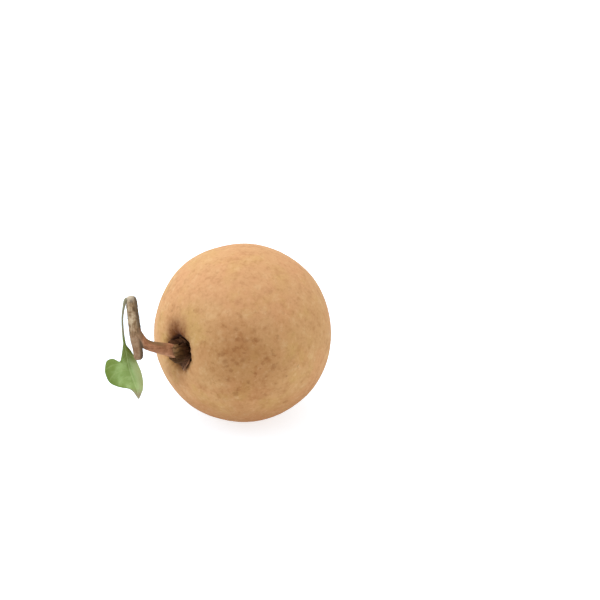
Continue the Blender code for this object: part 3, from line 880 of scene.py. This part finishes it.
def tubeRings(points, radii, startRounding, endRounding):
    route, length = spacedKeys(points), routeLength(points)
    size = [(key[0], radius) for key, radius in zip(route, radii)]
    start = [(depth / length, share) for depth, share in startRounding]
    end = [(1 - depth / length, share) for depth, share in reversed(endRounding)]
    first, last = start[-1][0], end[0][0]
    inner = [(first + (last - first) * n / wood["rings"], 1.0) for n in range(1, wood["rings"])]
    across = viewRight.cross(points[-1] - points[0])
    rings = []
    for place, share in start + inner + end:
        along = heading(route, place)
        across = squared(across, along)
        upright = along.cross(across)
        radius = follow(size, place) * share
        middle = follow(route, place)
        turns = (2 * pi * side / wood["sides"] for side in range(wood["sides"]))
        rings.append([middle + (across * cos(t) + upright * sin(t)) * radius for t in turns])
    return rings


def knob(centre, size, sides=20):  # a small egg-shaped swelling: size is its half widths
    rings = []
    for n in range(1, sides // 2):
        tilt = pi * n / (sides // 2)
        out, rise = sin(tilt), cos(tilt)
        turns = (2 * pi * side / sides for side in range(sides))
        ring = [Vector((out * cos(turn), out * sin(turn), rise)) for turn in turns]
        rings.append([centre + Vector([a * b for a, b in zip(offset, size)]) for offset in ring])
    return loft(rings)


def makeStalkAndTwig():
    stalk, twig = stalkPoints(), [seen(*point) for point in wood["twigRoute"]]
    shells = [
        loft(tubeRings(stalk, wood["stalkRadii"], wood["footRounding"], wood["footRounding"])),
        loft(tubeRings(twig, wood["twigRadii"], wood["topRounding"], wood["lowRounding"])),
        *[knob(seen(*place), size) for place, size in wood["knobs"]],
    ]
    points, faces, normals = fused(shells, wood["voxel"], wood["smoothing"])
    samples = [sampled(spacedKeys(path)) for path in (stalk, twig)]
    lengths = [routeLength(path) for path in (stalk, twig)]
    twigWay = (samples[1][-1][1] - samples[1][0][1]).normalized()
    joinWidth, joinShift = wood["join"]
    cutFrom, cutWidth = wood["cutFacing"]
    names = ("stalkShare", "cutShare", "footOut", "twigAlong", "upper", "sideways", "grainPlace")
    rows = []
    for index, (point, normal) in enumerate(zip(points, normals)):
        onStalk, onTwig = (nearestOn(sample, point) for sample in samples)
        share = smoothStep((onTwig[0] - onStalk[0]) / joinWidth + joinShift)
        near, length = (onStalk, lengths[0]) if share > 0.5 else (onTwig, lengths[1])
        outward = point - near[2]
        along = Vector((0, 0, near[1] * length / wood["grooveStretch"]))
        groove, crust, wart = (1 - calm * share for calm in wood["stalkCalm"])
        relief = noise(outward / wood["grooveSize"] + along) * wood["grooveHeight"] * groove
        relief += noise(point / wood["crustSize"]) * wood["crustHeight"] * crust
        fromWart = voronoi(point / wood["wartSpacing"])[0][0]
        relief += smoothStep(1 - fromWart / wood["wartRadius"]) * wood["wartHeight"] * wart
        facing = abs(normal.dot(twigWay))
        end = min(onTwig[1], 1 - onTwig[1]) < wood["cutDepth"]
        cut = smoothStep((facing - cutFrom) / cutWidth) if end and share < 0.5 else 0.0
        points[index] = point + normal * relief * (1 - wood["cutCalm"] * cut)
        rows.append((share, cut, onStalk[1] * lengths[0], onTwig[1], normal.z, normal.x, outward + along))
    return newPiece("barkedStalk", points, faces, barkPaint(), "stalk_and_twig", names, rows)


def barkPaint():
    paint = Paint("bark", **{"Specular IOR Level": 0.25})
    streaks = paint.cloud(0.8, 4, 0.65, place=paint.mark("grainPlace", "Vector"))
    fine = paint.cloud(0.45, 5, 0.7)
    broad = paint.cloud(2.4, 4, 0.6, 9)
    loose = broad - 0.5
    twigAlong, foot = paint.mark("twigAlong"), paint.mark("footOut")
    twig = paint.tones(broad * 0.65 + streaks * 0.35, *wood["twigTones"])
    twig = paint.lay(twig, *wood["lowTwig"], twigAlong + 0.4 * loose)
    twig = paint.lay(twig, *wood["twigPits"], fine)
    twig = paint.lay(twig, *wood["greyTop"], twigAlong)
    # painted shade: darker on the right side, away from the light
    twig = paint.lay(twig, *wood["shadedSide"], paint.mark("sideways") + 0.5 * loose)
    stalk = paint.tones(broad * 0.5 + streaks * 0.5, *wood["stalkTones"])
    stalk = paint.lay(stalk, *wood["stalkPits"], fine)
    fromFoot = paint.ramp(foot, *wood["oliveFrom"])
    stalk = paint.lay(stalk, *wood["olive"], paint.mark("upper") + 0.9 * loose, fromFoot)
    # olive-brown and darker at the foot: partly the stalk's own colour, partly painted shade
    stalk = paint.lay(stalk, *wood["foot"], foot + 2.0 * loose)
    share = paint.ramp(paint.mark("stalkShare") + 0.5 * loose, *wood["stalkBark"])
    cut = paint.mark("cutShare") * wood["cutShare"]
    colour = paint.blend(paint.blend(twig, stalk, share), paint.tones(fine, *wood["cutTones"]), cut)
    least, added = wood["roughness"]
    normal = paint.grooved(fine * 0.6 + streaks * 0.4, *wood["bump"])
    return paint.finish(colour, least + fine * added, normal)


# Leaf

leaf = {
    "petioleRoute": [
        (-42.5, 13.2, 30.7), (-43.4, 13.0, 31.0), (-43.9, 12.0, 31.4), (-44.2, 10.6, 31.9),
        (-44.5, 8.6, 32.4), (-44.7, 6.2, 32.9), (-44.65, 3.4, 33.1), (-44.4, 0.1, 33.1),
        (-44.1, -2.8, 32.7),
    ],
    "petioleRadii": [0.95, 0.82, 0.68, 0.54, 0.46, 0.42, 0.42, 0.46, 0.52],
    # each point starts with how far along the blade it is
    "rib": [
        (0.0, -44.1, -2.8, 32.7), (0.2, -43.5, -6.8, 30.6), (0.43, -42.8, -11.9, 28.3),
        (0.64, -41.4, -16.1, 28.3), (0.83, -39.8, -20.4, 30.0), (1.0, -38.6, -24.5, 32.6),
    ],
    "leftEdge": [
        (0.0, -44.5, -2.8, 32.6), (0.2, -45.1, -6.8, 29.8), (0.36, -45.6, -9.2, 28.6),
        (0.45, -46.3, -10.5, 28.0), (0.5, -48.8, -9.4, 28.5), (0.545, -51.0, -10.3, 29.0),
        (0.59, -51.6, -12.7, 29.2), (0.64, -51.5, -15.1, 29.0), (0.71, -49.8, -18.6, 29.0),
        (0.79, -46.2, -20.2, 29.8), (0.88, -41.8, -21.1, 31.0), (1.0, -38.9, -24.3, 32.6),
    ],
    "rightEdge": [
        (0.0, -43.6, -2.8, 32.6), (0.1, -43.0, -4.6, 31.0), (0.2, -41.5, -6.7, 29.4),
        (0.43, -39.5, -11.2, 24.6), (0.64, -37.8, -16.5, 22.8), (0.83, -37.3, -21.0, 26.8),
        (0.92, -37.8, -22.9, 29.4), (1.0, -38.3, -24.5, 32.5),
    ],
    "arch": [(0.0, 0.0, 0.0), (0.3, 0.3, 0.7), (0.6, 0.7, 2.0), (0.83, 0.5, 1.2), (1.0, 0.0, 0.0)],
    "thickness": 0.34,
    "leastFacing": 0.6,
    "ribHeight": 0.5,
    "ribWidth": 0.75,
    "ribFade": 0.7,
    "wave": 0.35,
    "waves": 5,
    "blend": 0.12,
    "veins": 11,
    "veinSlant": 0.16,  # how far along the blade a vein has run when it meets the edge
    "veinDepth": 0.05,
    "rows": 180,
    "columns": 22,  # from the rib to an edge
    "petioleRings": 40,
    "thinEdge": 0.55,  # shares of its thickness that the edges and tip lack
    "thinTip": 0.5,
    "ribFurrow": 0.16,
    "veinWidth": 0.09,  # against their spacing
    "green": ("829b50", "93ac66"),
    "greenSpread": (0.4, 0.62),
    # tints and their spreads, as for the calyx
    "paleSide": ("b3c98c", (0.1, 0.7, 0.85)),
    "darkSide": ("637820", (-0.25, -0.8, 0.95)),
    "neck": ("5d6a0b", (0.66, 0.34, 1.0)),
    "tip": ("96866e", (0.86, 1.02, 0.9)),
    "vein": ("a6b873", 0.22),
    "midrib": ("afbf80", (0.07, 0.02, 0.42)),
    "stem": ("7d785c", (0.12, -0.1, 1.0)),
    "flecks": ("4a5c26", (0.55, 0.8, 0.35)),
    "underside": ("8b9c6c", 0.75),
    "roughness": (0.46, 0.2),
    "bump": (0.4, 0.08),
}


def veinAt(share, out):  # 1 on a side vein, falling to 0 between them
    phase = (share - leaf["veinSlant"] * out**1.3) * leaf["veins"] % 1.0
    vein = exp(-((min(phase, 1 - phase) / leaf["veinWidth"]) ** 2))
    return vein * smoothStep(out / 0.12) * smoothStep((1 - out) / 0.1)


def bladeMiddle(share):  # one row of points across the blade, halfway through it
    lines = ([(key[0], seen(*key[1:])) for key in leaf[line]] for line in ("rib", "leftEdge", "rightEdge"))
    rib, left, right = (follow(line, share) for line in lines)
    arches = follow([(key[0], Vector(key[1:])) for key in leaf["arch"]], share)
    wave = leaf["wave"] * sin(2 * pi * leaf["waves"] * share) * sin(pi * share)
    points = []
    for column in range(-leaf["columns"], leaf["columns"] + 1):
        edge, height = (left, arches.x) if column < 0 else (right, arches.y)
        out = abs(column) / leaf["columns"]
        points.append(rib.lerp(edge, out) + viewNear * (4 * out * (1 - out) * height + wave * out**3))
    return points


def bladeRings():  # each ring goes over the upper face from left to right, and back underneath
    rows, columns = leaf["rows"], leaf["columns"]
    middles = [bladeMiddle(row / rows) for row in range(rows + 1)]
    rings, marks = [], []
    for number, row in enumerate(middles):
        share = number / rows
        ribPoint = row[columns]
        before, after = middles[max(0, number - 1)], middles[min(rows, number + 1)]
        along = after[columns] - before[columns]
        halves = (row[0] - ribPoint, ribPoint - row[-1])
        faces = [across.cross(along).normalized() for across in halves]
        direction = (faces[0] + faces[1]).normalized()
        over, under = [], []
        for column, point in enumerate(row):
            out = abs(column - columns) / columns
            face = direction if out == 0 else faces[column > columns]
            half = leaf["thickness"] / 2 * (1 - leaf["thinEdge"] * out**8)
            half *= 1 - leaf["thinTip"] * smoothStep(share * 10 - 9)
            push = half / max(leaf["leastFacing"], direction.dot(face))
            nearRib = exp(-(((point - ribPoint).length / leaf["ribWidth"]) ** 2)) * (1 - out)
            rib = leaf["ribHeight"] * (1 - leaf["ribFade"] * share) * nearRib
            vein = veinAt(share, out) * leaf["veinDepth"]
            over.append(point + direction * (push - vein - leaf["ribFurrow"] * nearRib * (1 - share)))
            under.append(point - direction * (push + rib + vein))
        rings.append(over + under[::-1])
        sides = [(column - columns) / columns for column in range(len(row))]
        marks += [(share, side, 1.0) for side in sides] + [(share, side, 0.0) for side in sides[::-1]]
    return rings, marks


def petioleRings(sides):
    route = spacedKeys([seen(*point) for point in leaf["petioleRoute"]])
    size = [(key[0], radius) for key, radius in zip(route, leaf["petioleRadii"])]
    rings = []
    for n in range(leaf["petioleRings"] + 1):
        place = n / leaf["petioleRings"]
        along = heading(route, place)
        left = squared(-viewRight, along)
        face = left.cross(along)
        face = -face if face.dot(viewNear) < 0 else face
        radius = follow(size, place)
        middle = follow(route, place)
        turns = (2 * pi * (side + 0.5) / sides for side in range(sides))
        rings.append([middle + (left * cos(t) + face * sin(t)) * radius for t in turns])
    return rings


def makeLeaf():
    blade, marks = bladeRings()
    petiole = petioleRings(len(blade[0]))
    last = petiole[-1]
    base = sum(last, Vector()) / len(last)
    for number, ring in enumerate(blade):  # the blade's root takes the petiole's round shape
        share = smoothStep(number / leaf["rows"] / leaf["blend"])
        if share < 1:
            middle = sum(ring, Vector()) / len(ring)
            blade[number] = [(middle + round - base).lerp(point, share) for point, round in zip(ring, last)]
    points, faces = loft(petiole[:-1] + blade)
    rows = [(n / leaf["petioleRings"] - 1, 0.0, 1.0) for n in range(leaf["petioleRings"]) for _ in last]
    names = ("along", "across", "upper")
    return newPiece("smallLeaf", points, faces, leafPaint(), "leaf", names, rows + marks)


def leafPaint():
    paint = Paint("freshLeaf", **{"Specular IOR Level": 0.4, "Coat Weight": 0.06, "Coat Roughness": 0.35})
    along, across, upper = (paint.mark(name) for name in ("along", "across", "upper"))
    cloud, fine = paint.cloud(2.6, 4, 0.6), paint.cloud(0.45, 4, 0.65, 6)
    out = paint.work("ABSOLUTE", across)
    sideways = across + 0.3 * cloud
    colour = paint.blend(*leaf["green"], paint.ramp(cloud, *leaf["greenSpread"]))
    colour = paint.lay(colour, *leaf["paleSide"], sideways)
    colour = paint.lay(colour, *leaf["darkSide"], sideways)
    colour = paint.lay(colour, *leaf["neck"], along + 0.18 * cloud + out * 0.06)
    colour = paint.lay(colour, *leaf["tip"], along + 0.1 * cloud)
    turn = (along - leaf["veinSlant"] * out**1.3) * leaf["veins"]
    between = paint.work("PINGPONG", paint.work("FRACT", turn + 10.0), 0.5)
    vein = paint.ramp(between, 0.11, 0.02) * paint.ramp(out, 0.05, 0.14) * paint.ramp(out, 1.0, 0.85)
    vein = vein * paint.ramp(along, 0.1, 0.25)
    veinGreen, veinShare = leaf["vein"]
    colour = paint.blend(colour, veinGreen, vein * veinShare)
    colour = paint.lay(colour, *leaf["midrib"], out, paint.ramp(along, 0.05, 0.2))
    underGreen, underShare = leaf["underside"]
    colour = paint.blend(underGreen, colour, upper * underShare + (1 - underShare))
    colour = paint.lay(colour, *leaf["stem"], along + 0.2 * cloud)
    colour = paint.lay(colour, *leaf["flecks"], fine)
    least, added = leaf["roughness"]
    normal = paint.grooved(fine * 0.3 + vein * -0.5, *leaf["bump"])
    return paint.finish(colour, least + fine * added, normal)


# Studio

studio = {
    "floorSize": 4.0,  # metres
    "floorPale": (0.55, 0.635, 0.715),  # a little blue, against the warm light that the fruit throws on it
    "floorGlow": 0.68,  # the floor is a lit table, so that it stays pale under the fruit
    "sky": 0.75,
    "lamps": {  # watts, size and place, in metres, and colour
        "key": (6.7, 0.8, (-0.18, 0.25, 0.85), (1, 1, 1)),
        "leftRim": (2.9, 0.6, (-0.8, 0.05, 0.36), (0.66, 0.84, 1)),
        "rightRim": (0.9, 0.6, (0.8, 0.05, 0.3), (1, 1, 1)),
    },
}


def makeStudio():
    scene = bpy.context.scene
    scene.view_settings.view_transform = "Standard"
    mesh = bpy.data.meshes.new("floor")
    half = studio["floorSize"] / 2
    corners = [(-half, -half, 0), (half, -half, 0), (half, half, 0), (-half, half, 0)]
    mesh.from_pydata(corners, [], [(0, 1, 2, 3)])
    floor = newObject("floor", mesh)
    glow = {"Emission Color": (1, 1, 1, 1), "Emission Strength": studio["floorGlow"]}
    pale = {"Base Color": (*studio["floorPale"], 1), "Roughness": 0.9, "Specular IOR Level": 0.1}
    paint = Paint("paleFloor", **pale, **glow)
    mesh.materials.append(paint.material)
    world = bpy.data.worlds.new("studio")
    scene.world = world
    world.use_nodes = True
    sky = world.node_tree.nodes["Background"].inputs
    sky["Color"].default_value = (1, 1, 1, 1)
    sky["Strength"].default_value = studio["sky"]
    for name, (watts, size, place, colour) in studio["lamps"].items():
        light = bpy.data.lights.new(name, "AREA")
        light.energy = watts
        light.size = size
        light.color = colour
        lamp = newObject(name, light)
        lamp.location = place
        lamp.rotation_euler = (lamp.location - fruitCentre * mm).to_track_quat("Z", "Y").to_euler()


def makeCamera():
    lens = bpy.data.cameras.new("camera")
    lens.sensor_width = camera["sensorWidth"]
    lens.lens = camera["sensorWidth"] * camera["distance"] / camera["frameWidth"]
    eye = newObject("camera", lens)
    eye.location = seen(camera["aimRight"], camera["aimUp"], camera["distance"]) * mm
    eye.rotation_euler = viewNear.to_track_quat("Z", "Y").to_euler()
    bpy.context.scene.camera = eye


makeCamera()
makeStudio()
makeFruit()
makeCalyx()
makeStalkAndTwig()
makeLeaf()
